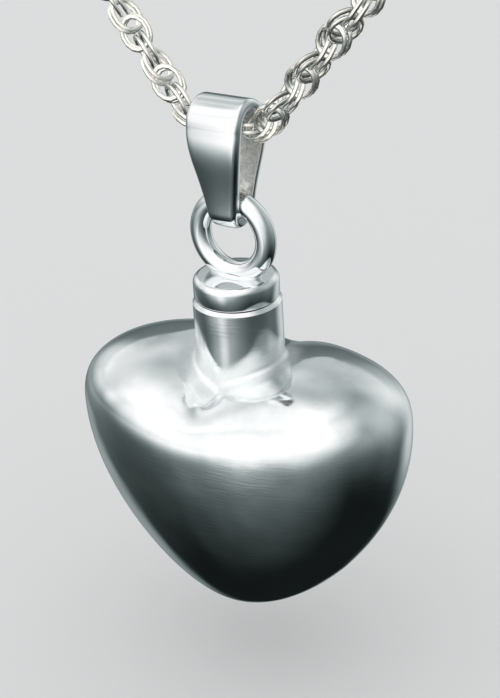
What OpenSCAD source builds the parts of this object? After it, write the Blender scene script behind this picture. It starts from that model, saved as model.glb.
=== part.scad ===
/* [Heart] */
// Width of the heart across its two lobes
heart_w = 21; // [19:0.5:23]
// Thickness of the puffed heart, front to back
heart_d = 13.2; // [11:0.2:14]
// Height from the tip up to the widest line of the heart
belly_to_tip = 12.9; // [11.5:0.1:14]
// Height from the widest line up to the foot of the neck
belly_to_neck = 4.1; // [3.8:0.1:4.4]
// Height from the widest line up to the top of the lobes
belly_to_lobe = 3.9; // [3.6:0.1:4.4]
// Thickness of the silver wall round the chamber
heart_wall = 0.8; // [0.6:0.1:1]

/* [Neck and screw cap] */
// Outside diameter of the neck
neck_d = 5.1; // [4.8:0.1:5.6]
// Outside diameter of the cap
cap_d = 4.9; // [4.6:0.1:5.1]
// Height of the neck above its foot
neck_h = 3.1; // [2.6:0.1:3.6]
// Height of the cap
cap_h = 1.35; // [1.1:0.05:1.6]
// Radius of the rounded edge round the top of the cap
cap_round = 0.4; // [0.2:0.05:0.5]
// Diameter of the threaded post under the cap
post_d = 3; // [2.6:0.1:3.2]
// Length of the threaded post
post_len = 3.3; // [3:0.1:4]

/* [Ring on the cap] */
// Outside diameter of the round ring
ring_d = 5.5; // [5:0.1:6]
// Thickness of the ring's wire
ring_wire = 1.2; // [1:0.05:1.3]
// Depth that the wire is sunk into the cap and its solder
ring_sink = 0.45; // [0.35:0.05:0.5]

/* [Bail] */
// Width of the bail near its top
bail_w = 3.4; // [3:0.1:3.8]
// Width of the bail at its foot
bail_foot_w = 1.6; // [1.4:0.1:1.8]
// Depth of the bail at its top, front to back
bail_depth = 3; // [2.9:0.1:3.4]
// Depth of the bail at its foot, front to back
bail_foot_depth = 2.3; // [2.2:0.1:2.6]
// Thickness of the bail's wall
bail_wall = 0.5; // [0.4:0.05:0.5]
// Swell of the bail's front and back between its two ends
bail_swell = 0.18; // [0:0.02:0.3]
// Distance from the chain inside the bail down to the ring's centre
chain_to_ring = 6.55; // [6.2:0.05:7]

/* [Chain and clasp] */
// Diameter of the twisted chain
chain_d = 1.8; // [1.5:0.1:1.8]
// Angle in degrees by which the pendant has turned on the low stretch of the chain
chain_turn = 12; // [0:1:14]
// Outside diameter of the clasp's ring
clasp_d = 6; // [5.5:0.1:6.5]
// Thickness of the clasp's wire
clasp_wire = 1.2; // [1:0.1:1.4]

/* [Hidden] */

silver = "gainsboro";
warm_silver = "antiquewhite";
over = 0.01;
round_fn = 96;

// Right half of the chain's route seen from the front, from the bail up to the clasp.
// Columns: x, z, rings of the tube on the way to the next point.
route = [
    [0, -163, 1],
    [1.8, -163, 1],
    [2.6, -162.7, 1],
    [3.5, -161.8, 1],
    [5, -160.2, 1],
    [10, -154.7, 2],
    [20, -144, 3],
    [35, -128.5, 3],
    [49, -115, 3],
    [59, -101.5, 3],
    [65.6, -85, 3],
    [67.5, -67.5, 3],
    [65.6, -50, 3],
    [58.8, -34, 3],
    [48.5, -20, 3],
    [35, -9, 2],
    [21, -3, 2],
    [11, -0.5, 1],
    [5, 0, 0],
];
chain_sides = 8;
chain_r = chain_d / 2;
chain_low_z = route[0][1];
chain_end_x = route[len(route) - 1][0];
bail_mouth_x = 1.8;
turned_until_z = -144;
level_from_z = -105;

ring_r = (ring_d - ring_wire) / 2;
ring_z = chain_low_z - chain_to_ring;
ring_gap = 0.06;

bail_top_r = bail_depth / 2;
bail_foot_r = bail_foot_depth / 2;
bail_hole_r = bail_top_r - bail_wall;
wire_z = ring_z + ring_r;
foot_hole_r = ring_wire / 2 + ring_gap;
foot_below_wire = 0.4;
bail_wall_steps = 12;

neck_r = neck_d / 2;
cap_top_z = ring_z - ring_d / 2 + ring_sink;
seam_gap = 0.05;
cap_low_z = cap_top_z - cap_h;
neck_top_z = cap_low_z - seam_gap;
neck_z = neck_top_z - neck_h;
belly_z = neck_z - belly_to_neck;
edge = 0.12;

cap_r = cap_d / 2;
post_r = post_d / 2;
post_fit = 0.05;
post_tip = 0.3;

half_w = heart_w / 2;
tip_sharpness = 1.7;
tip_round = 0.2;
lobe_squareness = 2.9;
puff_squareness = 2.15;
cleft_share = 0.42;
cleft_spread = 50;
heart_columns = 56;
heart_rings = 28;
chamber_columns = 36;
chamber_rings = 18;

// Front silhouette of the bail.
// Columns: share of the height from foot to top, share of the widening from foot to full width.
bail_rows = [
    [0, 0],
    [0.2, 0.2],
    [0.4, 0.49],
    [0.59, 0.83],
    [0.77, 1],
    [0.93, 1],
    [1, 0.94],
];

// A smooth curve through four neighbouring points, at t from the second to the third.
function curve(a, b, c, d, t) =
    0.5 * (2 * b + (c - a) * t + (2 * a - 5 * b + 4 * c - d) * t * t
    + (3 * b - a - 3 * c + d) * t * t * t);
// Distance by which the turned stretch of the right half lies in front of the upright plane.
function forward(x, z) =
    let (t = min(max((z - turned_until_z) / (level_from_z - turned_until_z), 0), 1))
    tan(chain_turn) * max(x - bail_mouth_x, 0) * (1 - t * t * (3 - 2 * t));
function route_point(i) =
    let (x = route[abs(i)][0], z = route[abs(i)][1], side = i < 0 ? -1 : 1)
    [side * x, -side * forward(x, z), z];
function route_at(i) =
    let (last = len(route) - 1)
    abs(i) > last
        ? 2 * route_point(sign(i) * last) - route_point(sign(i) * (last - 1))
        : route_point(i);
function route_steps(i) = route[i < 0 ? -i - 1 : i][2];
function chain_line() = [
    for (i = [1 - len(route) : len(route) - 2])
        for (k = [0 : route_steps(i) - 1])
            curve(route_at(i - 1), route_at(i), route_at(i + 1), route_at(i + 2), k / route_steps(i)),
    route_at(len(route) - 1),
];

// Ends of the tube are square to the clasp, so the first and last tangents lie flat.
function unit(v) = v / norm(v);
function tangent(line, k) =
    k == 0 || k == len(line) - 1
        ? [1, 0, 0]
        : unit(line[k + 1] - line[k - 1]);
// The sides are counted from the one that faces the front.
function tube_ring(p, along, radius, sides) =
    let (
        back = unit([0, 1, 0] - along[1] * along),
        out = cross(along, back)
    )
    [
        for (s = [0 : sides - 1])
            let (a = 180 + 360 * (s - 0.5) / sides)
            p + radius * (cos(a) * back + sin(a) * out)
    ];

// Half outline of the heart in polar form, a being the angle from straight down to the cleft.
function eased(s) =
    (sqrt(s * s + tip_round * tip_round) - tip_round) / (sqrt(1 + tip_round * tip_round) - tip_round);
function lower_r(a, half, drop) = half + (drop - half) * pow(1 - eased(sin(a)), tip_sharpness);
function upper_r(a, half, rise) =
    pow(pow(sin(a) / half, lobe_squareness) + pow(-cos(a) / rise, lobe_squareness),
        -1 / lobe_squareness);
function cleft(a) =
    let (away = (180 - a) / cleft_spread)
    away >= 1 ? 0 : cleft_share * (1 + cos(180 * away)) / 2;
// A section from front to back is a little squarer than an ellipse.
function puffed(v) = sign(v) * pow(abs(v), 2 / puff_squareness);
// The cleft fades out towards the middle of the front and of the back.
function heart_r(a, tilt, half, drop, rise) =
    puffed(cos(tilt)) * (a <= 90
        ? lower_r(a, half, drop)
        : upper_r(a, half, rise) * (1 - cleft(a) * (1 - pow(puffed(sin(tilt)), 2))));
function heart_point(turn, tilt, inset) =
    let (
        a = turn <= 180 ? turn : 360 - turn,
        r = heart_r(a, tilt, half_w - inset, belly_to_tip - inset, belly_to_lobe - inset)
    )
    [r * sin(turn), (heart_d / 2 - inset) * puffed(sin(tilt)), belly_z - r * cos(turn)];

module chain() {
    line = chain_line();
    n = chain_sides;
    last = len(line) - 1;
    points = [
        for (k = [0 : last])
            each tube_ring(line[k], tangent(line, k), chain_r, n)
    ];
    walls = [
        for (k = [0 : last - 1])
            for (s = [0 : n - 1])
                each [
                    [k * n + s, (k + 1) * n + s, (k + 1) * n + (s + 1) % n],
                    [k * n + s, (k + 1) * n + (s + 1) % n, k * n + (s + 1) % n],
                ]
    ];
    start = [for (s = [0 : n - 1]) s];
    end = [for (s = [n - 1 : -1 : 0]) last * n + s];
    color(warm_silver)
    polyhedron(points, concat(walls, [start, end]));
}

// A round wire bent into a ring about the Y axis.
module wire_ring(centre_r, wire_r) {
    rotate([90, 0, 0])
    rotate_extrude($fn = round_fn)
    translate([centre_r, 0])
    circle(wire_r, $fn = round_fn);
}

module clasp() {
    collar_r = chain_r + 0.1;
    collar_x = (clasp_d - clasp_wire) / 2;
    color(warm_silver)
    union() {
        wire_ring((clasp_d - clasp_wire) / 2, clasp_wire / 2);
        for (side = [-1, 1])
            rotate([0, side * 90, 0])
            translate([0, 0, collar_x])
            cylinder(r = collar_r, h = chain_end_x - collar_x, $fn = round_fn);
    }
}

// The bail's long loop seen from the side: two round ends, and between them walls that swell outwards,
// most a little below the chain. It runs across the bail by the given width.
module bail_loop(top_r, low_r, low_z, width) {
    lean = asin((top_r - low_r) / (chain_low_z - low_z));
    wall = [
        for (k = [0 : bail_wall_steps])
            let (
                t = k / bail_wall_steps,
                y = top_r * (1 - t) + low_r * t,
                swell = bail_swell * pow(sin(180 * pow(t, 0.75)), 2)
            )
            [y * cos(lean) + swell, (chain_low_z * (1 - t) + low_z * t) + y * sin(lean)]
    ];
    rotate([90, 0, 90]) {
        translate([0, chain_low_z, -width / 2]) cylinder(r = top_r, h = width, $fn = round_fn);
        translate([0, low_z, -width / 2]) cylinder(r = low_r, h = width, $fn = round_fn);
        linear_extrude(width, center = true)
        polygon(concat(wall, [for (k = [bail_wall_steps : -1 : 0]) [-wall[k][0], wall[k][1]]]));
    }
}

module bail_front(foot_z) {
    rise = chain_low_z + bail_top_r - foot_z;
    half = [for (row = bail_rows) bail_foot_w / 2 + (bail_w - bail_foot_w) / 2 * row[1]];
    last = len(bail_rows) - 1;
    polygon(concat(
        [for (k = [0 : last]) [half[k], foot_z + rise * bail_rows[k][0]]],
        [for (k = [last : -1 : 0]) [-half[k], foot_z + rise * bail_rows[k][0]]]
    ));
}

module bail() {
    foot_z = wire_z - foot_below_wire;
    color(silver)
    difference() {
        intersection() {
            difference() {
                bail_loop(bail_top_r, bail_foot_r, foot_z, bail_w + 1);
                bail_loop(bail_hole_r, foot_hole_r, wire_z, bail_w + 2);
            }
            rotate([90, 0, 0])
            linear_extrude(bail_depth + 2, center = true)
            bail_front(foot_z - bail_foot_r);
        }
        // Seat worn by the ring, so that the ring can slide round through the foot
        translate([0, 0, ring_z])
        wire_ring(ring_r, foot_hole_r);
    }
}

module cap() {
    color(silver)
    union() {
        translate([0, 0, cap_low_z])
        rotate_extrude($fn = round_fn)
        union() {
            polygon([
                [0, 0],
                [cap_r - edge, 0],
                [cap_r, edge],
                [cap_r, cap_h - cap_round],
                [cap_r - cap_round, cap_h - cap_round],
                [cap_r - cap_round, cap_h],
                [0, cap_h],
            ]);
            intersection() {
                translate([cap_r - cap_round, cap_h - cap_round])
                circle(cap_round, $fn = round_fn);
                translate([cap_r - cap_round, cap_h - cap_round])
                square(cap_round + over);
            }
        }
        translate([0, 0, ring_z])
        wire_ring(ring_r, ring_wire / 2);
    }
}

module threaded_post() {
    color(silver)
    translate([0, 0, cap_low_z - post_len])
    rotate_extrude($fn = round_fn)
    polygon([
        [0, 0],
        [post_r - post_tip, 0],
        [post_r, post_tip],
        [post_r, post_len],
        [0, post_len],
    ]);
}

// A puffed heart, closed at the middle of its front and of its back.
module heart_solid(inset, columns, rings) {
    points = concat(
        [heart_point(0, -90, inset)],
        [
            for (k = [1 : rings - 1])
                for (c = [0 : columns - 1])
                    heart_point(360 * c / columns, 180 * k / rings - 90, inset)
        ],
        [heart_point(0, 90, inset)]
    );
    back = len(points) - 1;
    last_ring = 1 + (rings - 2) * columns;
    front_fan = [for (c = [0 : columns - 1]) [0, 1 + (c + 1) % columns, 1 + c]];
    back_fan = [for (c = [0 : columns - 1]) [back, last_ring + c, last_ring + (c + 1) % columns]];
    sides = [
        for (k = [0 : rings - 3])
            for (c = [0 : columns - 1])
                let (
                    a = 1 + k * columns + c,
                    b = 1 + k * columns + (c + 1) % columns
                )
                each [[a, b, b + columns], [a, b + columns, a + columns]]
    ];
    polyhedron(points, concat(front_fan, sides, back_fan));
}

module vessel() {
    color(silver)
    difference() {
        union() {
            heart_solid(0, heart_columns, heart_rings);
            translate([0, 0, belly_z + 1])
            cylinder(r = neck_r, h = neck_top_z - edge - belly_z - 1, $fn = round_fn);
            translate([0, 0, neck_top_z - edge])
            cylinder(r1 = neck_r, r2 = neck_r - edge, h = edge, $fn = round_fn);
        }
        heart_solid(heart_wall, chamber_columns, chamber_rings);
        translate([0, 0, belly_z])
        cylinder(r = post_r + post_fit, h = neck_top_z + over - belly_z, $fn = round_fn);
    }
}

chain();
clasp();
bail();
cap();
threaded_post();
vessel();
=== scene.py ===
# %% [markdown]
# # A keepsake heart on a twisted chain
#
# The object is a necklace. A puffed, hollow silver heart closes with a screw cap, a round ring is
# soldered on the cap, a tapered bail hangs in the ring, and a twisted chain runs through the bail. All
# of it is polished silver, so this lesson is about two things: surfaces smooth enough for a mirror, and
# a studio worth mirroring.
#
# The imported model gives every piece's place. Each piece below is built over its solid and rides on its
# body.

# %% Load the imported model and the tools
import math

import bmesh
import bpy
import numpy as np
from mathutils import Matrix, Vector


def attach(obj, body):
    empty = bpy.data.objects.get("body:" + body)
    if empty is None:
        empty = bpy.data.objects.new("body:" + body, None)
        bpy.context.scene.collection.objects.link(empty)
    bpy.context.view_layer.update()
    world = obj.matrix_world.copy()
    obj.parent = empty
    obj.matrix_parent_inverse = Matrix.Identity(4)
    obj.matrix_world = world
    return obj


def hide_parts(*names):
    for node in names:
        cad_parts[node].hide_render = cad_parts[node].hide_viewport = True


mm = 0.001
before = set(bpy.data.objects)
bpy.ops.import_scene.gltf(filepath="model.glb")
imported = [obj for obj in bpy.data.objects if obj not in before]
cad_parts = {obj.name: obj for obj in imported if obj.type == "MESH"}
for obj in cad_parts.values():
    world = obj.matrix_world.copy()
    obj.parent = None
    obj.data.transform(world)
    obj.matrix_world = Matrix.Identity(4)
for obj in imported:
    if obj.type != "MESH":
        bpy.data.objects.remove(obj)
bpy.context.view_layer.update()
# A distance too small to see, and the turn in radians from one face to the next that makes an edge sharp
hair, sharp = 0.01 * mm, 1

# %% [markdown]
# ## A small bench of tools
#
# Modelling by hand in Blender is always the same loop: go into edit mode, select something, and use a
# tool on it. Without a mouse the selecting is done by a test, such as "every vertex above this height".
# These helpers do that, and they apply a finished piece's place to its mesh, so that its object ends at
# the origin.

# %% Selecting, shaping and finishing helpers


def deselect_all():
    if bpy.context.mode != "OBJECT":
        bpy.ops.object.mode_set(mode="OBJECT")
    bpy.ops.object.select_all(action="DESELECT")


def open_for_editing(piece):
    deselect_all()
    piece.select_set(True)
    bpy.context.view_layer.objects.active = piece
    bpy.ops.object.mode_set(mode="EDIT")
    bpy.ops.mesh.select_all(action="DESELECT")


def pick(piece, test, kind="VERT"):
    """In edit mode, selects the vertices, edges or faces that pass the test, and nothing else."""
    mesh = bmesh.from_edit_mesh(piece.data)
    bpy.context.tool_settings.mesh_select_mode = (kind == "VERT", kind == "EDGE", kind == "FACE")
    for parts in (mesh.faces, mesh.edges, mesh.verts):
        for part in parts:
            part.select_set(False)
    parts = {"VERT": mesh.verts, "EDGE": mesh.edges, "FACE": mesh.faces}[kind]
    found = [part for part in parts if test(part)]
    for part in found:
        part.select_set(True)
    mesh.select_flush_mode()
    bmesh.update_edit_mesh(piece.data)
    return len(found)


def middle(part):
    """The middle of an edge, in the mesh's own coordinates."""
    return (part.verts[0].co + part.verts[1].co) / 2


def start_piece(name):
    """Names the primitive that was just added, and puts its place into its mesh."""
    piece = bpy.context.object
    piece.name = name
    piece.data.name = name
    bpy.ops.object.transform_apply(location=True, rotation=True, scale=True)
    return piece


def start_empty(name):
    """Makes an object with an empty mesh, and opens it for editing."""
    deselect_all()
    bpy.ops.mesh.primitive_plane_add(size=mm, location=(0, 0, 0))
    piece = start_piece(name)
    open_for_editing(piece)
    bpy.ops.mesh.select_all(action="SELECT")
    bpy.ops.mesh.delete(type="VERT")
    return piece


def apply_modifier(piece, kind, **settings):
    deselect_all()
    piece.select_set(True)
    bpy.context.view_layer.objects.active = piece
    modifier = piece.modifiers.new(kind.title(), kind)
    for key, value in settings.items():
        setattr(modifier, key, value)
    bpy.ops.object.modifier_apply(modifier=modifier.name)


def finish_piece(piece, body, nodes, smooth_angle=40):
    """Smooth shading with crisp edges kept, then the piece takes its node's place on its body."""
    deselect_all()
    piece.select_set(True)
    bpy.context.view_layer.objects.active = piece
    bpy.ops.object.shade_smooth_by_angle(angle=math.radians(smooth_angle))
    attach(piece, body)
    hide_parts(*nodes)
    print(f"{piece.name}: {len(piece.data.polygons)} faces")


# %% [markdown]
# ## The camera
#
# The picture is taken from the front, a little to the right and from above, with a long lens close to
# the piece. The heart leans a touch to the left in it, which is a roll of the camera. These numbers
# were found by matching the ring, the cap, the neck and the outline of the heart.

# %% Place the camera
view_azimuth, view_elevation, view_roll = (math.radians(a) for a in (33.91, 26.70, 3.71))
view_distance = 95.33 * mm
view_target = Vector((0.437, 0.293, -176.683)) * mm
focal_pixels, picture_height, sensor_height = 1658.5, 698, 36

to_camera = Vector((
    math.sin(view_azimuth) * math.cos(view_elevation),
    -math.cos(view_azimuth) * math.cos(view_elevation),
    math.sin(view_elevation),
))
level = Vector((math.cos(view_azimuth), math.sin(view_azimuth), 0))
upward = to_camera.cross(level)
picture_right = level * math.cos(view_roll) - upward * math.sin(view_roll)
picture_up = upward * math.cos(view_roll) + level * math.sin(view_roll)

camera_data = bpy.data.cameras.new("camera")
camera_data.lens = sensor_height * focal_pixels / picture_height
camera_data.sensor_width = sensor_height
camera_data.clip_start, camera_data.clip_end = 5 * mm, 20
camera = bpy.data.objects.new("camera", camera_data)
bpy.context.scene.collection.objects.link(camera)
axes = Matrix((picture_right, picture_up, to_camera)).transposed().to_4x4()
camera.matrix_world = Matrix.Translation(view_target + to_camera * view_distance) @ axes
bpy.context.scene.camera = camera
print("lens:", round(camera_data.lens, 1), "mm")

# %% [markdown]
# ## Heights that the pieces share
#
# The pieces hang from each other, so one list of heights places them all. The values are those of the
# solids: the chain lies in the top of the bail, the ring hangs in its foot, and the cap closes the neck
# of the heart.

# %% Heights and radii, in metres
chain_z = -163.0 * mm
ring_z = -169.55 * mm
ring_radius, ring_wire_radius = 2.15 * mm, 0.6 * mm
wire_z = ring_z + ring_radius
cap_top_z, cap_low_z = -171.85 * mm, -173.20 * mm
neck_top_z, neck_radius = -173.25 * mm, 2.55 * mm
belly_z = -180.45 * mm
print("cap height in mm:", round((cap_top_z - cap_low_z) / mm, 2))

# %% [markdown]
# ## The vessel: a heart and its neck in one skin
#
# The heart is pressed and soldered from thin silver, then polished until no seam is left. A mirror
# shows every ripple, so a heart that is pushed about vertex by vertex, or joined to its neck by a
# boolean, looks dented. A subdivided cage would be smooth, but it is hard to hold to an outline.
#
# Here a ball is the start. Its pole is opened for the neck, and each of its vertices slides out along
# its own ray until it meets a surface that is given as a rule: the heart, the neck, and a round fillet
# where the solder has run between them. All the faces stay in even rows, so the mirror stays clean. A
# few turns of smoothing then play the part of the polishing wheel. The chamber inside is a second ball,
# made in the same way one wall's thickness further in, and a bridge joins it to the bore of the neck.

# %% The rule for the heart's surface, in mm from the middle of its widest line
half_width, tip_drop, lobe_rise, half_depth = 10.5, 12.9, 3.9, 6.6
tip_round, tip_sharpness = 0.2, 1.7
lobe_squareness, puff_squareness = 2.9, 2.15
cleft_share, cleft_spread, cleft_round, cleft_sharpness = 0.44, 50, 0.06, 1.2
print("heart:", 2 * half_width, "by", round(tip_drop + lobe_rise, 1), "by", 2 * half_depth, "mm")


def outline_radius(angle):
    """Distance from the middle to the outline. The angle is in degrees, from straight down to the cleft."""
    # Straight down the sine is never quite zero, so that nothing is divided by it
    sine, cosine = np.maximum(np.sin(np.radians(angle)), 1e-9), np.cos(np.radians(angle))
    eased = (np.sqrt(sine**2 + tip_round**2) - tip_round) / (math.hypot(1, tip_round) - tip_round)
    below = half_width + (tip_drop - half_width) * np.maximum(1 - eased, 0) ** tip_sharpness
    power = lobe_squareness
    above = ((sine / half_width) ** power + (np.maximum(-cosine, 0) / lobe_rise) ** power) ** (-1 / power)
    return np.where(angle <= 90, below, above)


def cleft_depth(angle):
    """How far the cleft cuts in, as a share of the outline's radius."""
    away = np.minimum(np.hypot((180 - angle) / cleft_spread, cleft_round), 1)
    return cleft_share * (1 - away) ** cleft_sharpness


def heart_level(p):
    """Below zero inside the puffed heart, above zero outside it."""
    across = np.hypot(p[:, 0], p[:, 2]) + 1e-9
    angle = np.degrees(np.arctan2(np.abs(p[:, 0]), -p[:, 2]))
    forward = np.abs(p[:, 1]) / half_depth
    radius = outline_radius(angle) * (1 - cleft_depth(angle) * np.maximum(1 - forward**4, 0))
    return ((across / radius) ** puff_squareness + forward**puff_squareness) ** (1 / puff_squareness) - 1


# %% The rule for the skin of the vessel: heart, neck and the fillet between them
fillet, small_step = 0.4, 0.001
neck_from_z, far_off = 2, 50
print("fillet between the heart and the neck:", fillet, "mm")


def heart_distance(p):
    """About how far outside the heart a point lies, in mm: its level over the slope of the level."""
    slope = [
        (heart_level(p + step) - heart_level(p - step)) / (2 * small_step)
        for step in np.eye(3) * small_step
    ]
    return heart_level(p) / np.maximum(np.linalg.norm(slope, axis=0), 1e-6)


def skin_distance(p):
    """About how far outside the whole vessel a point lies, in mm, with the fillet filled in."""
    to_heart = heart_distance(p)
    to_neck = np.where(p[:, 2] > neck_from_z, np.hypot(p[:, 0], p[:, 1]) - neck_radius / mm, far_off)
    inner = np.hypot(np.maximum(fillet - to_heart, 0), np.maximum(fillet - to_neck, 0))
    return np.maximum(fillet, np.minimum(to_heart, to_neck)) - inner


# %% Start from a ball and open its top for the neck
meridians, parallels = 160, 180
neck_chamfer = 0.2 * mm
neck_angle = math.atan2(neck_radius, neck_top_z - neck_chamfer - belly_z)

deselect_all()
bpy.ops.mesh.primitive_uv_sphere_add(
    segments=meridians, ring_count=parallels, radius=half_depth * mm, location=(0, 0, belly_z))
vessel = start_piece("heart_vessel")
open_for_editing(vessel)
middle_of_heart = Vector((0, 0, belly_z))
pick(vessel, lambda v: (v.co - middle_of_heart).angle(Vector((0, 0, 1))) < neck_angle)
bpy.ops.mesh.delete(type="VERT")
deselect_all()
print("opening of the neck:", round(math.degrees(neck_angle), 1), "degrees from the axis")

# %% Slide each vertex along its ray to the skin
nearest, farthest, halvings = 1.0, 20.0, 40


def slide_to(ball, distance):
    """Moves the vertices along their rays to where the distance is zero, and returns their places."""
    count = len(ball.data.vertices)
    places = np.empty(count * 3)
    ball.data.vertices.foreach_get("co", places)
    rays = places.reshape(-1, 3) / mm - np.array(middle_of_heart) / mm
    rays /= np.linalg.norm(rays, axis=1, keepdims=True)
    near, far = np.full(count, nearest), np.full(count, farthest)
    for _ in range(halvings):
        half_way = (near + far) / 2
        outside = distance(rays * half_way[:, None]) > 0
        far = np.where(outside, half_way, far)
        near = np.where(outside, near, half_way)
    places = (rays * near[:, None] + np.array(middle_of_heart) / mm) * mm
    ball.data.vertices.foreach_set("co", places.ravel())
    ball.data.update()
    return places


places = slide_to(vessel, skin_distance)
print("widest:", round(2 * places[:, 0].max() / mm, 2), "mm; tip at", round(places[:, 2].min() / mm, 2))

# %% Polish the heart clear of the neck's foot, and raise the neck to its chamfered mouth
foot_width, smoothing_turns = 1.4 * mm, 24
open_for_editing(vessel)
polished = pick(vessel, lambda v: v.co.to_2d().length > neck_radius + foot_width or v.co.z < belly_z)
bpy.ops.mesh.vertices_smooth(factor=0.5, repeat=smoothing_turns)
mouth_z = neck_top_z - neck_chamfer
highest = max(v.co.z for v in bmesh.from_edit_mesh(vessel.data).verts)
pick(vessel, lambda v: v.co.z > highest - 0.1 * hair)
bpy.ops.transform.translate(value=(0, 0, mouth_z - highest))
bpy.ops.mesh.extrude_region_move(TRANSFORM_OT_translate={"value": (0, 0, neck_chamfer)})
inner_scale = (neck_radius - neck_chamfer) / neck_radius
bpy.ops.transform.resize(value=(inner_scale, inner_scale, 1), center_override=(0, 0, neck_top_z))
print("vertices polished:", polished, "and the neck raised by", round((mouth_z - highest) / mm, 3), "mm")

# %% Turn the rim in to the bore that takes the screw
bore_radius, bore_depth = 1.55 * mm, 4.2 * mm
bpy.ops.mesh.extrude_region_move(TRANSFORM_OT_translate={"value": (0, 0, 0)})
bore_scale = bore_radius / (neck_radius - neck_chamfer)
bpy.ops.transform.resize(value=(bore_scale, bore_scale, 1), center_override=(0, 0, neck_top_z))
bpy.ops.mesh.extrude_region_move(TRANSFORM_OT_translate={"value": (0, 0, -bore_depth)})
deselect_all()
print("bore:", round(2 * bore_radius / mm, 1), "mm across and", round(bore_depth / mm, 1), "mm deep")

# %% Make the chamber: a second ball, slid to one wall's thickness inside the heart
wall, chamber_parallels = 0.8, 40
mouth_angle = math.radians(43)
bpy.ops.mesh.primitive_uv_sphere_add(
    segments=meridians, ring_count=chamber_parallels, radius=mm, location=(0, 0, belly_z))
chamber = start_piece("heart_chamber")
open_for_editing(chamber)
pick(chamber, lambda v: (v.co - middle_of_heart).angle(Vector((0, 0, 1))) < mouth_angle)
bpy.ops.mesh.delete(type="VERT")
deselect_all()
places = slide_to(chamber, lambda p: heart_distance(p) + wall)
print("chamber:", round(2 * places[:, 0].max() / mm, 2), "mm wide")

# %% Join the chamber to the bore, so that the vessel is one closed skin
chamber.select_set(True)
vessel.select_set(True)
bpy.context.view_layer.objects.active = vessel
bpy.ops.object.join()
open_for_editing(vessel)
open_edges = pick(vessel, lambda e: e.is_boundary, "EDGE")
bpy.ops.mesh.bridge_edge_loops()
bpy.ops.mesh.select_all(action="SELECT")
bpy.ops.mesh.normals_make_consistent(inside=False)
still_open = sum(e.is_boundary for e in bmesh.from_edit_mesh(vessel.data).edges)
deselect_all()
print("edges bridged:", open_edges, "and left open:", still_open)

# %% Note the corner at the neck's foot, which the polishing wheel can't reach
corner_reach = 1.7
count = len(vessel.data.vertices)
places = np.empty(count * 3)
vessel.data.vertices.foreach_get("co", places)
places = (places.reshape(-1, 3) - np.array(middle_of_heart)) / mm
from_both = np.maximum(heart_distance(places), np.hypot(places[:, 0], places[:, 1]) - neck_radius / mm)
corner = np.clip(1 - from_both / corner_reach, 0, 1) * (places[:, 2] > 0)
vessel.data.attributes.new("neck_corner", "FLOAT", "POINT").data.foreach_set("value", corner)
print("vertices in the corner:", int((corner > 0.5).sum()))

# %% [markdown]
# ## The screw cap with its ring
#
# The cap is turned from a rod: a short cylinder with a softly rounded upper edge and a fine chamfer
# below, that leaves a bright line at the seam. The top is flat and polished, and it mirrors the ring
# that is soldered on it. A cylinder primitive, a bevel round each rim and a narrow inset make it. The
# inset keeps the flat top flat in the shading. The ring is a torus, sunk a little into the top, and the
# solder round its foot is a squashed ball.

# %% Turn the cap
cap_radius, cap_round, cap_chamfer, cap_inset = 2.45 * mm, 0.38 * mm, 0.12 * mm, 0.03 * mm
deselect_all()
bpy.ops.mesh.primitive_cylinder_add(
    vertices=128, radius=cap_radius, depth=cap_top_z - cap_low_z,
    location=(0, 0, (cap_top_z + cap_low_z) / 2))
cap = start_piece("screw_cap")
open_for_editing(cap)
pick(cap, lambda e: min(v.co.z for v in e.verts) > cap_top_z - hair, "EDGE")
bpy.ops.mesh.bevel(offset=cap_round, segments=8, profile=0.5, affect="EDGES")
pick(cap, lambda e: max(v.co.z for v in e.verts) < cap_low_z + hair, "EDGE")
bpy.ops.mesh.bevel(offset=cap_chamfer, segments=2, profile=0.5, affect="EDGES")
pick(cap, lambda f: abs(f.normal.z) > 0.99, "FACE")
bpy.ops.mesh.inset(thickness=cap_inset)
print("faces of the cap:", len(bmesh.from_edit_mesh(cap.data).faces))

# %% Solder the ring on
solder_size = (1.65, 0.82, 0.3)
bpy.ops.mesh.select_all(action="DESELECT")
bpy.ops.mesh.primitive_torus_add(
    major_segments=128, minor_segments=40, major_radius=ring_radius, minor_radius=ring_wire_radius,
    location=(0, 0, ring_z), rotation=(math.radians(90), 0, 0))
bpy.ops.mesh.select_all(action="DESELECT")
bpy.ops.mesh.primitive_uv_sphere_add(segments=64, ring_count=32, radius=mm, location=(0, 0, cap_top_z))
bpy.ops.transform.resize(value=solder_size, center_override=(0, 0, cap_top_z))
deselect_all()
ring_low_z = ring_z - ring_radius - ring_wire_radius
print("the ring goes", round((cap_top_z - ring_low_z) / mm, 2), "mm into the cap")

# %% [markdown]
# ## The bail
#
# The bail is cast: a tapered strap that goes up the front, over the chain and down the back, and closes
# round the ring at its foot. Seen from the side it is a long loop, wide at the top and narrow at the
# foot; seen from the front it tapers like a leaf. So the side view is drawn first, as an outer and an
# inner loop. The band between them is extruded across the bail, each row is drawn in to the width that
# the front view has there, the front and the back are crowned, and the edges are rounded, the outer
# ones most.

# %% Draw the side view of the bail
bail_half_width, bail_foot_half_width = 1.7 * mm, 0.8 * mm
bail_top_radius, bail_foot_radius = 1.5 * mm, 1.15 * mm
hole_top_radius, hole_foot_radius = 1.0 * mm, 0.66 * mm
foot_drop = 0.4 * mm
bail_foot_z = wire_z - foot_drop
loop_points, wall_cuts = 96, 28
bail_swell, swell_height = 0.18 * mm, 0.55


def swell_at(share):
    """How far the front and the back swell out. The share is 0 at the chain and 1 at the foot."""
    return bail_swell * math.sin(math.pi * share**swell_height) ** 2


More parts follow.
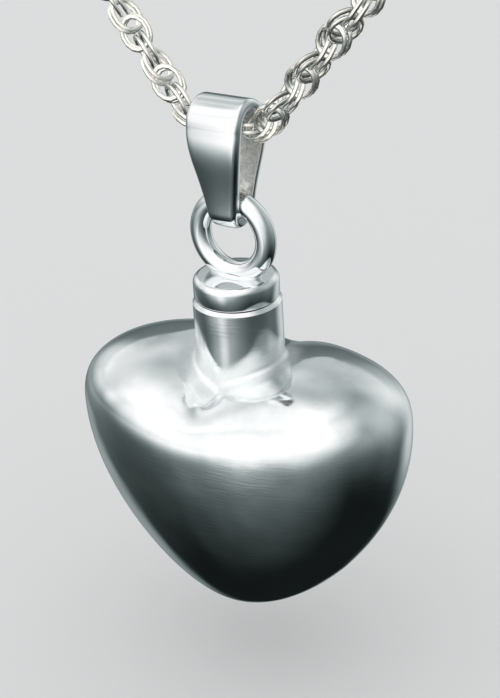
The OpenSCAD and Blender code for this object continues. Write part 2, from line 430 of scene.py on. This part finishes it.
def add_side_loop(piece, top_radius, foot_radius, foot_z):
    """A circle round the chain, whose lower half is shrunk and drawn down to the foot."""
    bpy.ops.mesh.select_all(action="DESELECT")
    bpy.ops.mesh.primitive_circle_add(
        vertices=loop_points, radius=top_radius, location=(-bail_half_width, 0, chain_z),
        rotation=(0, math.radians(90), 0))
    mesh = bmesh.from_edit_mesh(piece.data)
    for v in mesh.verts:
        if v.select and v.co.z > chain_z - 0.1 * hair:
            v.select_set(False)
    mesh.select_flush(False)
    bmesh.update_edit_mesh(piece.data)
    scale = foot_radius / top_radius
    bpy.ops.transform.resize(value=(1, scale, scale), center_override=(-bail_half_width, 0, chain_z))
    bpy.ops.transform.translate(value=(0, 0, foot_z - chain_z))
    # The two straight walls are the only long edges
    pick(piece, lambda e: e.calc_length() > top_radius, "EDGE")
    bpy.ops.mesh.subdivide(number_cuts=wall_cuts)
    # The straight walls end one point below the widest place of the foot
    first_point = math.tau / loop_points
    end_y, end_z = foot_radius * math.cos(first_point), foot_z - foot_radius * math.sin(first_point)
    for cut in range(1, wall_cuts + 1):
        t = cut / (wall_cuts + 1)
        height = chain_z * (1 - t) + end_z * t
        half = top_radius * (1 - t) + end_y * t
        for wall_side in (-1, 1):
            place = Vector((-bail_half_width, wall_side * half, height))
            found = pick(piece, lambda v: (v.co - place).length < hair)
            assert found == 1
            bpy.ops.transform.translate(value=(0, wall_side * swell_at(t), 0))


bail = start_empty("tapered_bail")
add_side_loop(bail, bail_top_radius, bail_foot_radius, bail_foot_z)
add_side_loop(bail, hole_top_radius, hole_foot_radius, wire_z)
bpy.ops.mesh.select_all(action="SELECT")
bpy.ops.mesh.bridge_edge_loops()
print("side view of the bail:", len(bmesh.from_edit_mesh(bail.data).faces), "faces")

# %% Extrude it across, and draw each row in to the leaf shape of the front
columns, leaf_rounding = 6, 0.09
column_width = 2 * bail_half_width / columns
bpy.ops.mesh.select_all(action="SELECT")
for _ in range(columns):
    bpy.ops.mesh.extrude_region_move(TRANSFORM_OT_translate={"value": (column_width, 0, 0)})
bpy.ops.mesh.select_all(action="SELECT")
bpy.ops.mesh.normals_make_consistent(inside=False)

# Columns: share of the height from foot to top, share of the widening from foot to full width
leaf_rows = [(0, 0), (0.2, 0.2), (0.4, 0.49), (0.59, 0.83), (0.77, 1), (0.93, 1), (1, 0.93)]
bail_low_z, bail_high_z = bail_foot_z - bail_foot_radius, chain_z + bail_top_radius


def leaf_half_width(z):
    share = (z - bail_low_z) / (bail_high_z - bail_low_z)
    heights, widths = zip(*leaf_rows)
    # The average over a short stretch rounds the corners of the table
    near_shares = np.clip(share + np.linspace(-leaf_rounding, leaf_rounding, 13), 0, 1)
    near_widths = np.interp(near_shares, heights, widths)
    return bail_foot_half_width + (bail_half_width - bail_foot_half_width) * float(near_widths.mean())


# A row is all that lies within a little more than half of the last digit
digits, row_reach = 3, 0.0006
levels = sorted({round(v.co.z / mm, digits) for v in bmesh.from_edit_mesh(bail.data).verts})
for height in levels:
    pick(bail, lambda v: abs(v.co.z / mm - height) < row_reach)
    drawn_in = leaf_half_width(height * mm) / bail_half_width
    bpy.ops.transform.resize(value=(drawn_in, 1, 1), center_override=(0, 0, height * mm))
print("rows drawn in:", len(levels))

# %% Crown the front and the back, and round the edges
crown, crown_from_y, crown_to_z = 0.1 * mm, 0.3 * mm, chain_z + 1.2 * mm
outer_round, inner_round, column_reach = 0.34 * mm, 0.06 * mm, 0.05
middle_foot_radius, middle_top_radius = 0.92 * mm, 1.25 * mm


def on_outer_side(place):
    """True for a point nearer the outside of the bail's wall than the inside, seen from the side."""
    share = min(max((place.z - bail_foot_z) / (chain_z - bail_foot_z), 0), 1)
    centre_z = bail_foot_z + share * (chain_z - bail_foot_z)
    middle_radius = middle_foot_radius + share * (middle_top_radius - middle_foot_radius)
    return math.hypot(place.y, place.z - centre_z) > middle_radius + swell_at(1 - share)


def in_column(v, column, wall_side):
    """True for a vertex of one wall, at this share of the way from the middle to the side."""
    share = abs(v.co.x) / leaf_half_width(v.co.z)
    on_wall = v.co.y * wall_side > crown_from_y and v.co.z < crown_to_z
    return abs(share - column) < column_reach and on_wall


for step in range(columns // 2):
    column = step / (columns / 2)
    for wall_side in (-1, 1):
        pick(bail, lambda v: in_column(v, column, wall_side))
        bpy.ops.transform.translate(value=(0, wall_side * crown * (1 - column**2), 0))
outer_edges = pick(bail, lambda e: e.calc_face_angle(0) > sharp and on_outer_side(middle(e)), "EDGE")
bpy.ops.mesh.bevel(offset=outer_round, segments=8, profile=0.5, affect="EDGES", clamp_overlap=True)
inner_edges = pick(bail, lambda e: e.calc_face_angle(0) > sharp, "EDGE")
bpy.ops.mesh.bevel(offset=inner_round, segments=2, profile=0.5, affect="EDGES", clamp_overlap=True)
deselect_all()
print("edges rounded:", outer_edges, "outer and", inner_edges, "inner")

# %% [markdown]
# ## The threaded post
#
# The post hides in the neck until the cap is unscrewed. Its thread is 3 mm across with a pitch of half
# a millimetre. The Screw modifier sweeps one tooth round the axis, one turn for each pitch; two cuts
# trim the ends, and a core with a chamfered tip closes it.

# %% Cut the thread
post_radius, root_radius, pitch = 1.5 * mm, 1.22 * mm, 0.5 * mm
post_low_z, post_high_z = -176.5 * mm, -173.2 * mm
turns, tip_chamfer, core_overlap = 8, 0.25 * mm, 0.03 * mm

# Columns: radius, height
tooth = [(root_radius, 0), (post_radius, 0.19 * mm), (post_radius, 0.31 * mm), (root_radius, pitch)]
thread = start_empty("thread_screw")
mesh = bmesh.from_edit_mesh(thread.data)
corners = [mesh.verts.new((radius, 0, post_low_z - pitch + height)) for radius, height in tooth]
for low, high in zip(corners, corners[1:]):
    mesh.edges.new((low, high))
bmesh.update_edit_mesh(thread.data)
deselect_all()
apply_modifier(thread, "SCREW", angle=math.tau, screw_offset=pitch, iterations=turns, steps=48,
               render_steps=48, use_merge_vertices=True, merge_threshold=0.001 * mm)
open_for_editing(thread)
bpy.ops.mesh.select_all(action="SELECT")
bpy.ops.mesh.remove_doubles(threshold=0.002 * mm)
bpy.ops.mesh.bisect(plane_co=(0, 0, post_low_z + tip_chamfer), plane_no=(0, 0, 1), clear_inner=True)
bpy.ops.mesh.select_all(action="SELECT")
bpy.ops.mesh.bisect(plane_co=(0, 0, post_high_z), plane_no=(0, 0, 1), clear_outer=True)
bpy.ops.mesh.select_all(action="SELECT")
bpy.ops.mesh.normals_make_consistent(inside=False)
print("thread:", round(2 * post_radius / mm, 1), "mm by", round(pitch / mm, 1), "mm")

# %% Put the core through the thread
bpy.ops.mesh.select_all(action="DESELECT")
bpy.ops.mesh.primitive_cylinder_add(
    vertices=64, radius=root_radius + core_overlap, depth=post_high_z - post_low_z,
    location=(0, 0, (post_high_z + post_low_z) / 2))
pick(thread, lambda e: max(v.co.z for v in e.verts) < post_low_z + hair, "EDGE")
bpy.ops.mesh.bevel(offset=tip_chamfer, segments=1, affect="EDGES")
deselect_all()
print("length of the post:", round((post_high_z - post_low_z) / mm, 1), "mm")

# %% [markdown]
# ## The chain
#
# It is a twisted double chain: each link is a pair of oval wire rings side by side, each pair sits at a
# steady turn from the last, and the whole string looks like a ribbon that twists. One pair is modelled
# from a torus. It is then copied along the route of the loop, each copy with its own mesh, and the
# copies are joined. A Curve modifier would bend the links themselves, and real links are stiff.

# %% The route of the loop: right half seen from the front, in mm, from the bail up to the clasp
route = [
    (0, -163), (1.8, -163), (2.6, -162.7), (3.5, -161.8), (5, -160.2), (10, -154.7), (20, -144),
    (35, -128.5), (49, -115), (59, -101.5), (65.6, -85), (67.5, -67.5), (65.6, -50), (58.8, -34),
    (48.5, -20), (35, -9), (21, -3), (11, -0.5), (5, 0),
]
chain_turn, turned_until_z, level_from_z = 12, -144, -105
straight_until_x, clasp_length = 1.8, 10
samples_per_span = 40


def forward_of_plane(x, z):
    """How far the low stretch lies in front of the upright plane, as the pendant has turned on it."""
    t = min(max((z - turned_until_z) / (level_from_z - turned_until_z), 0), 1)
    turned = 1 - t * t * (3 - 2 * t)
    return math.tan(math.radians(chain_turn)) * max(x - straight_until_x, 0) * turned


def smooth_line(points):
    """A smooth curve through all the points, as many short steps."""
    points = np.array(points, float)
    ends = [2 * points[0] - points[1], 2 * points[-1] - points[-2]]
    padded = np.vstack([ends[0], points, ends[1]])
    t = np.linspace(0, 1, samples_per_span, endpoint=False)[:, None]
    spans = []
    for a, b, c, d in zip(padded, padded[1:], padded[2:], padded[3:]):
        spans.append(0.5 * (2 * b + (c - a) * t + (2 * a - 5 * b + 4 * c - d) * t**2
                            + (3 * b - a - 3 * c + d) * t**3))
    return np.vstack([*spans, points[-1]])


right_half = [(x, -forward_of_plane(x, z), z) for x, z in route]
line = smooth_line([(-x, -y, z) for x, y, z in right_half[:0:-1]] + right_half)
lengths = np.concatenate([[0], np.cumsum(np.linalg.norm(np.diff(line, axis=0), axis=1))])
print("chain:", round(lengths[-1], 1), "mm, and with the clasp", round(lengths[-1] + clasp_length, 1))

# %% Model one link: a pair of oval rings
link_length, link_width, wire = 2.2, 1.8, 0.25
pair_gap, pair_shift = 0.19, 0.04
deselect_all()
bpy.ops.mesh.primitive_torus_add(
    major_segments=14, minor_segments=6, major_radius=(link_width - wire) / 2 * mm,
    minor_radius=wire / 2 * mm)
link = start_piece("chain_link")
open_for_editing(link)
bpy.ops.mesh.select_all(action="SELECT")
stretch = (link_length - wire) / (link_width - wire)
bpy.ops.transform.resize(value=(stretch, 1, 1), center_override=(0, 0, 0))
bpy.ops.transform.translate(value=(-pair_shift * mm, 0, -pair_gap * mm))
bpy.ops.mesh.duplicate_move(
    TRANSFORM_OT_translate={"value": (2 * pair_shift * mm, 0, 2 * pair_gap * mm)})
deselect_all()
print("faces in a link:", len(link.data.polygons))

# %% Copy it along the route and join the copies
link_pitch, link_turn, first_turn = 1.13, 57, 44.6
half_grip = 0.6
link_count = round((lengths[-1] - link_length) / link_pitch) + 1
starts = np.linspace(link_length / 2, lengths[-1] - link_length / 2, link_count)


def point_along(length):
    return Vector([float(np.interp(length, lengths, line[:, k])) for k in (0, 1, 2)])


copies = []
for number, along in enumerate(starts):
    run = (point_along(along + half_grip) - point_along(along - half_grip)).normalized()
    side = (Vector((0, 1, 0)) - run * run.y).normalized()
    turned = Matrix((run, side, run.cross(side))).transposed().to_4x4()
    twist = Matrix.Rotation(math.radians(first_turn + link_turn * number), 4, "X")
    copy = link.copy()
    copy.data = link.data.copy()
    copy.matrix_world = Matrix.Translation(point_along(along) * mm) @ turned @ twist
    bpy.context.scene.collection.objects.link(copy)
    copies.append(copy)
bpy.data.objects.remove(link)
deselect_all()
for copy in copies:
    copy.select_set(True)
bpy.context.view_layer.objects.active = copies[0]
bpy.ops.object.join()
chain = start_piece("twisted_chain")
print("links:", link_count, "at", round((starts[1] - starts[0]), 3), "mm")

# %% [markdown]
# ## The clasp
#
# The picture ends long before the top of the loop, so the clasp is a plain one: a round ring with a
# collar on each side that takes the end of the chain. Its edges are rounded like those of any soldered
# finding.

# %% Make the clasp
clasp_radius, clasp_wire_radius = 2.4 * mm, 0.6 * mm
collar_radius, collar_end, collar_round = 1.0 * mm, clasp_length / 2 * mm, 0.2 * mm
deselect_all()
bpy.ops.mesh.primitive_torus_add(
    major_segments=96, minor_segments=24, major_radius=clasp_radius, minor_radius=clasp_wire_radius,
    rotation=(math.radians(90), 0, 0))
clasp = start_piece("round_clasp")
open_for_editing(clasp)
for side in (-1, 1):
    bpy.ops.mesh.select_all(action="DESELECT")
    bpy.ops.mesh.primitive_cylinder_add(
        vertices=40, radius=collar_radius, depth=collar_end - clasp_radius,
        location=(side * (collar_end + clasp_radius) / 2, 0, 0), rotation=(0, math.radians(90), 0))
for end_x in (clasp_radius, collar_end):
    pick(clasp, lambda e: all(abs(abs(v.co.x) - end_x) < hair for v in e.verts)
         and e.calc_face_angle(0) > sharp, "EDGE")
    bpy.ops.mesh.bevel(offset=collar_round, segments=4, profile=0.5, affect="EDGES")
deselect_all()
print("clasp:", len(clasp.data.polygons), "faces")

# %% [markdown]
# ## Polished silver
#
# Silver has almost no colour of its own: it takes its looks from the studio. What makes it real is what
# the polishing leaves. There are slow waves where the wheel pressed harder, fine strokes that cross the
# front, and a thin haze where fingers have been. All the pieces need these, in different amounts, so
# they are one node group: it reads a place on the piece and gives back a height, for a bump, and a
# haze, for the roughness. The wheel doesn't reach into the corner at the foot of the neck, so the metal
# stays satin there. The chain was tumbled and not buffed, which leaves it a little whiter and softer.

# %% Build the group of polishing marks
haze_size, haze_from, haze_to = 260.0, 0.35, 0.7
along_stroke = (0.1, 0.1, 1.0)
polish = bpy.data.node_groups.new("polishing_marks", "ShaderNodeTree")
for name, kind, value in (
    ("Place", "NodeSocketVector", None),
    ("Wave size", "NodeSocketFloat", 300.0),
    ("Wave height", "NodeSocketFloat", 0.5),
    ("Stroke size", "NodeSocketFloat", 6000.0),
    ("Stroke height", "NodeSocketFloat", 0.2),
):
    socket = polish.interface.new_socket(name, in_out="INPUT", socket_type=kind)
    if value is not None:
        socket.default_value = value
polish.interface.new_socket("Height", in_out="OUTPUT", socket_type="NodeSocketFloat")
polish.interface.new_socket("Haze", in_out="OUTPUT", socket_type="NodeSocketFloat")


def add_node(tree, kind, inputs=(), **settings):
    """Adds a node, sets its properties, and sets or links its inputs."""
    node = tree.nodes.new(kind)
    for key, value in settings.items():
        setattr(node, key, value)
    for key, value in dict(inputs).items():
        if isinstance(value, bpy.types.NodeSocket):
            tree.links.new(value, node.inputs[key])
        else:
            node.inputs[key].default_value = value
    return node


marks_in = add_node(polish, "NodeGroupInput")
marks_out = add_node(polish, "NodeGroupOutput")
waves = add_node(polish, "ShaderNodeTexNoise", {
    "Vector": marks_in.outputs["Place"], "Scale": marks_in.outputs["Wave size"],
    "Detail": 1.0, "Roughness": 0.4})
stroke_place = add_node(polish, "ShaderNodeVectorMath", {
    0: marks_in.outputs["Place"], 1: along_stroke}, operation="MULTIPLY")
strokes = add_node(polish, "ShaderNodeTexNoise", {
    "Vector": stroke_place.outputs["Vector"], "Scale": marks_in.outputs["Stroke size"],
    "Detail": 3.0, "Roughness": 0.6})
haze = add_node(polish, "ShaderNodeTexNoise", {
    "Vector": marks_in.outputs["Place"], "Scale": haze_size, "Detail": 4.0, "Roughness": 0.55})
wave_part = add_node(polish, "ShaderNodeMath", {
    0: waves.outputs["Fac"], 1: marks_in.outputs["Wave height"]}, operation="MULTIPLY")
haze_mask = add_node(polish, "ShaderNodeMapRange", {
    "Value": haze.outputs["Fac"], "From Min": haze_from, "From Max": haze_to},
    interpolation_type="SMOOTHSTEP")
# The strokes lie in patches, where the haze is
stroke_depth = add_node(polish, "ShaderNodeMath", {
    0: haze_mask.outputs["Result"], 1: marks_in.outputs["Stroke height"]}, operation="MULTIPLY")
stroke_part = add_node(polish, "ShaderNodeMath", {
    0: strokes.outputs["Fac"], 1: stroke_depth.outputs[0]}, operation="MULTIPLY")
height = add_node(polish, "ShaderNodeMath", {
    0: wave_part.outputs[0], 1: stroke_part.outputs[0]}, operation="ADD")
polish.links.new(height.outputs[0], marks_out.inputs["Height"])
polish.links.new(haze_mask.outputs["Result"], marks_out.inputs["Haze"])
print("nodes in the group:", len(polish.nodes))

# %% A helper that makes a silver from the group
satin_rough, satin_from, satin_to = 0.42, 0.1, 0.8


def make_silver(name, colour, hazed_colour, rough, hazed_rough, wave_size, wave_height, stroke_size,
                stroke_height, bump_height, satin_where=None, metallic=1.0):
    """A polished metal. Sizes are per metre, and bump_height is the full height of the marks in metres.

    Where the attribute satin_where is 1, the metal is satin instead.
    """
    material = bpy.data.materials.new(name)
    material.use_nodes = True
    tree = material.node_tree
    tree.nodes.clear()
    place = add_node(tree, "ShaderNodeTexCoord")
    marks = add_node(tree, "ShaderNodeGroup", node_tree=polish)
    tree.links.new(place.outputs["Object"], marks.inputs["Place"])
    for key, value in (("Wave size", wave_size), ("Wave height", wave_height),
                       ("Stroke size", stroke_size), ("Stroke height", stroke_height)):
        marks.inputs[key].default_value = value
    tint = add_node(tree, "ShaderNodeMix", data_type="RGBA")
    tint.inputs["A"].default_value = (*colour, 1)
    tint.inputs["B"].default_value = (*hazed_colour, 1)
    tree.links.new(marks.outputs["Haze"], tint.inputs["Factor"])
    roughness = add_node(tree, "ShaderNodeMapRange", {
        "Value": marks.outputs["Haze"], "To Min": rough, "To Max": hazed_rough})
    if satin_where:
        satin = add_node(tree, "ShaderNodeAttribute", attribute_name=satin_where)
        roughness = add_node(tree, "ShaderNodeMapRange", {
            "Value": satin.outputs["Fac"], "From Min": satin_from, "From Max": satin_to,
            "To Min": roughness.outputs["Result"], "To Max": satin_rough},
            interpolation_type="SMOOTHSTEP")
    bump = add_node(tree, "ShaderNodeBump", {
        "Height": marks.outputs["Height"], "Strength": 1.0, "Distance": bump_height})
    shader = add_node(tree, "ShaderNodeBsdfPrincipled", {
        "Base Color": tint.outputs["Result"], "Metallic": metallic,
        "Roughness": roughness.outputs["Result"], "Normal": bump.outputs["Normal"]})
    output = add_node(tree, "ShaderNodeOutputMaterial")
    tree.links.new(shader.outputs["BSDF"], output.inputs["Surface"])
    return material


# %% Mix the four silvers
# After the name: clean and hazed colour, clean and hazed roughness, size and height of the waves,
# size and height of the strokes, and the full height of the marks
heart_silver = make_silver(
    "heart_silver", (0.93, 0.95, 0.95), (0.74, 0.765, 0.77), 0.07, 0.16, 330, 2.3, 8000, 0.2, 0.03 * mm,
    satin_where="neck_corner")
fitting_silver = make_silver(
    "fitting_silver", (0.86, 0.88, 0.885), (0.82, 0.835, 0.84), 0.05, 0.10, 600, 0.5, 9000, 0.05, 0.01 * mm)
cast_silver = make_silver(
    "cast_silver", (0.95, 0.945, 0.92), (0.86, 0.855, 0.82), 0.34, 0.55, 2600, 1.0, 9000, 0.3, 0.06 * mm)
link_silver = make_silver(
    "link_silver", (0.97, 0.945, 0.88), (0.93, 0.895, 0.81), 0.18, 0.34, 1500, 0.5, 9000, 0.2, 0.02 * mm,
    metallic=0.92)
print("metals:", [metal.name for metal in (heart_silver, fitting_silver, cast_silver, link_silver)])

# %% [markdown]
# ## Dress the pieces
#
# Each piece gets its silver and takes its solid's place on its body. The inside of the bail was never
# polished, so the faces there get the rougher cast silver.

# %% Materials and bodies
for piece, metal in ((vessel, heart_silver), (cap, fitting_silver), (bail, fitting_silver),
                     (thread, fitting_silver), (chain, link_silver), (clasp, link_silver)):
    piece.data.materials.clear()
    piece.data.materials.append(metal)
bail.data.materials.append(cast_silver)
open_for_editing(bail)
inside = pick(bail, lambda f: not on_outer_side(f.calc_center_median())
              and abs(f.normal.x) < 0.3, "FACE")
bail.active_material_index = 1
bpy.ops.object.material_slot_assign()
deselect_all()
print("faces of cast silver inside the bail:", inside)

# Mirrored in the heart, the chain would draw dark cracks across the bright shoulders
chain.visible_glossy = False
finish_piece(chain, "necklace", ["chain"], 60)
finish_piece(clasp, "necklace", ["clasp"])
finish_piece(bail, "bail", ["bail"])
finish_piece(cap, "cap", ["cap"])
finish_piece(thread, "post", ["threaded_post"])
finish_piece(vessel, "vessel", ["vessel"])

# %% [markdown]
# ## The studio
#
# A mirror needs something to mirror. The floor is plain and pale, but if the silver saw it, the whole
# heart would be pale too and lose its form. So the mirror rays pass the floor by and see a studio of
# their own. One very large round soft light in front and above gives the bright shoulders and their
# clear lower edge. Upright soft panels stand round the piece: the clear lower edge of the one at the
# back draws the line across the shoulders, the narrow one in front draws the streak down the neck, and
# those at the sides draw the thin bright rims. What lies below stays dark.
#
# The numbers of the lights were first found by a fitting program, which matched the brightness of the
# silver to the photograph. They were then rounded, and some were changed.

# %% The floor, low enough for the heart to stay clear of it when its screw is undone
floor_gap, floor_size = 3.4 * mm, 12
paper_dark, paper_light, paper_rough = 0.80, 0.82, 0.7
tip_z = min(v.co.z for v in vessel.data.vertices)
deselect_all()
bpy.ops.mesh.primitive_plane_add(size=floor_size, location=(0, 0, tip_z - floor_gap))
floor = bpy.context.object
floor.name = "floor"
paper = bpy.data.materials.new("pale_paper")
paper.use_nodes = True
tree = paper.node_tree
sheet = tree.nodes["Principled BSDF"]
sheet.inputs["Roughness"].default_value = paper_rough
grain = add_node(tree, "ShaderNodeTexNoise", {"Scale": 40.0, "Detail": 2.0})
shade = add_node(tree, "ShaderNodeMapRange", {
    "Value": grain.outputs["Fac"], "To Min": paper_dark, "To Max": paper_light})
tree.links.new(shade.outputs["Result"], sheet.inputs["Base Color"])
floor.data.materials.append(paper)
floor.visible_glossy = False
print("floor below the tip of the heart:", round(floor_gap / mm, 1), "mm")

# %% The sky, and the direction that it is seen in
world = bpy.data.worlds.new("studio")
bpy.context.scene.world = world
world.use_nodes = True
sky = world.node_tree
sky.nodes.clear()
direction = add_node(sky, "ShaderNodeTexCoord").outputs["Generated"]
flat = add_node(sky, "ShaderNodeVectorMath", {0: direction, 1: (1, 1, 0)}, operation="MULTIPLY")
around = add_node(sky, "ShaderNodeVectorMath", {
    0: flat.outputs["Vector"]}, operation="NORMALIZE").outputs["Vector"]
upness = add_node(sky, "ShaderNodeSeparateXYZ", {"Vector": direction}).outputs["Z"]
height_angle = add_node(sky, "ShaderNodeMath", {0: upness}, operation="ARCSINE").outputs[0]


def compass(azimuth, elevation):
    """A direction. Azimuth 0 is the front of the heart, and it grows to the right."""
    a, e = math.radians(azimuth), math.radians(elevation)
    return (math.sin(a) * math.cos(e), -math.cos(a) * math.cos(e), math.sin(e))


print("front of the heart:", [round(c, 2) for c in compass(0, 0)])

# %% The two kinds of light


def round_light(azimuth, elevation, radius, softness, strength):
    """Brightness of a round light on the sky, that fades over its soft edge."""
    facing = add_node(sky, "ShaderNodeVectorMath", {
        0: direction, 1: compass(azimuth, elevation)}, operation="DOT_PRODUCT")
    inner = math.cos(math.radians(max(radius - softness, 0)))
    outer = math.cos(math.radians(radius + softness))
    mask = add_node(sky, "ShaderNodeMapRange", {
        "Value": facing.outputs["Value"], "From Min": outer, "From Max": inner, "To Max": strength},
        interpolation_type="SMOOTHSTEP")
    return mask.outputs["Result"]


def soft_panel(azimuth, half_width, side_softness, low, low_softness, high, high_softness, strength):
    """Brightness of an upright panel on the sky. Each of its edges has its own softness."""
    facing = add_node(sky, "ShaderNodeVectorMath", {
        0: around, 1: compass(azimuth, 0)}, operation="DOT_PRODUCT")
    away = add_node(sky, "ShaderNodeMath", {
        0: facing.outputs["Value"]}, operation="ARCCOSINE").outputs[0]
    edges = (
        (away, half_width + side_softness, half_width - side_softness),
        (height_angle, low - low_softness, low + low_softness),
        (height_angle, high + high_softness, high - high_softness),
    )
    brightness = None
    for angle, dark_at, bright_at in edges:
        mask = add_node(sky, "ShaderNodeMapRange", {
            "Value": angle, "From Min": math.radians(dark_at), "From Max": math.radians(bright_at)},
            interpolation_type="SMOOTHSTEP").outputs["Result"]
        brightness = mask if brightness is None else add_node(
            sky, "ShaderNodeMath", {0: brightness, 1: mask}, operation="MULTIPLY").outputs[0]
    return add_node(sky, "ShaderNodeMath", {
        0: brightness, 1: strength}, operation="MULTIPLY").outputs[0]


# %% The lights that the silver mirrors
# Columns: azimuth, elevation, radius, softness (all in degrees), strength
round_lights = [
    (-7, 41.5, 57, 21.6, 0.78),
    (-30, 14, 27, 26.5, 0.38),
    (-117, -39, 10, 10, 0.25),
    (-101, 62, 37, 8, 0.41),
    (-150, -34, 9, 7, 0.55),
]
# Columns: azimuth, half width, softness of the sides, lower edge, its softness, upper edge, its softness
# (all in degrees), strength
panels = [
    (-138, 42.5, 16, 19.3, 1.5, 44, 14, 0.34),
    (-168, 82, 15, -9, 45, 49.5, 16, 0.20),
    (173, 17, 16, -38, 9.5, 35, 19.5, 0.55),
    (-99, 29, 7, 10, 28, 22, 12.5, 1.16),
    (80.5, 92, 34, -11.5, 37, 73, 16, 0.36),
    (109, 120, 53, 70, 31, 110, 31, 0.45),
    (-93.5, 87, 10.5, -14, 45, -7, 4.5, 0.34),
    (8, 32, 34, -39, 45, -5, 12, 0.31),
    (-8, 10, 9, -31, 11, -19.5, 7, 0.39),
]
total = None
for brightness in [round_light(*row) for row in round_lights] + [soft_panel(*row) for row in panels]:
    if total is None:
        total = brightness
    else:
        total = add_node(sky, "ShaderNodeMath", {0: total, 1: brightness}, operation="ADD").outputs[0]
print("lights on the sky:", len(round_lights), "round,", len(panels), "panels")

# %% What mirror rays see, and what all other rays see
dark_room, plain_light = 0.01, 0.9
dark_tint, bright_tint, tint_power = (0.74, 0.99, 1.0, 1), (1.0, 0.995, 1.0, 1), 0.6
mirrored = add_node(sky, "ShaderNodeMath", {0: total, 1: dark_room}, operation="ADD").outputs[0]
path = add_node(sky, "ShaderNodeLightPath")
choice = add_node(sky, "ShaderNodeMix", {"Factor": path.outputs["Is Glossy Ray"]}, data_type="FLOAT")
choice.inputs[2].default_value = plain_light
sky.links.new(mirrored, choice.inputs[3])
# The dark parts of the room are a little teal, the bright ones are white
whiteness = add_node(sky, "ShaderNodeMath", {
    0: choice.outputs[0], 1: tint_power}, operation="POWER", use_clamp=True)
tone = add_node(sky, "ShaderNodeMix", {"Factor": whiteness.outputs[0]}, data_type="RGBA")
tone.inputs["A"].default_value = dark_tint
tone.inputs["B"].default_value = bright_tint
studio = add_node(sky, "ShaderNodeBackground", {
    "Color": tone.outputs["Result"], "Strength": choice.outputs[0]})
world_output = add_node(sky, "ShaderNodeOutputWorld")
sky.links.new(studio.outputs["Background"], world_output.inputs["Surface"])
bpy.context.scene.view_settings.view_transform = "Standard"
print("nodes in the sky:", len(sky.nodes))
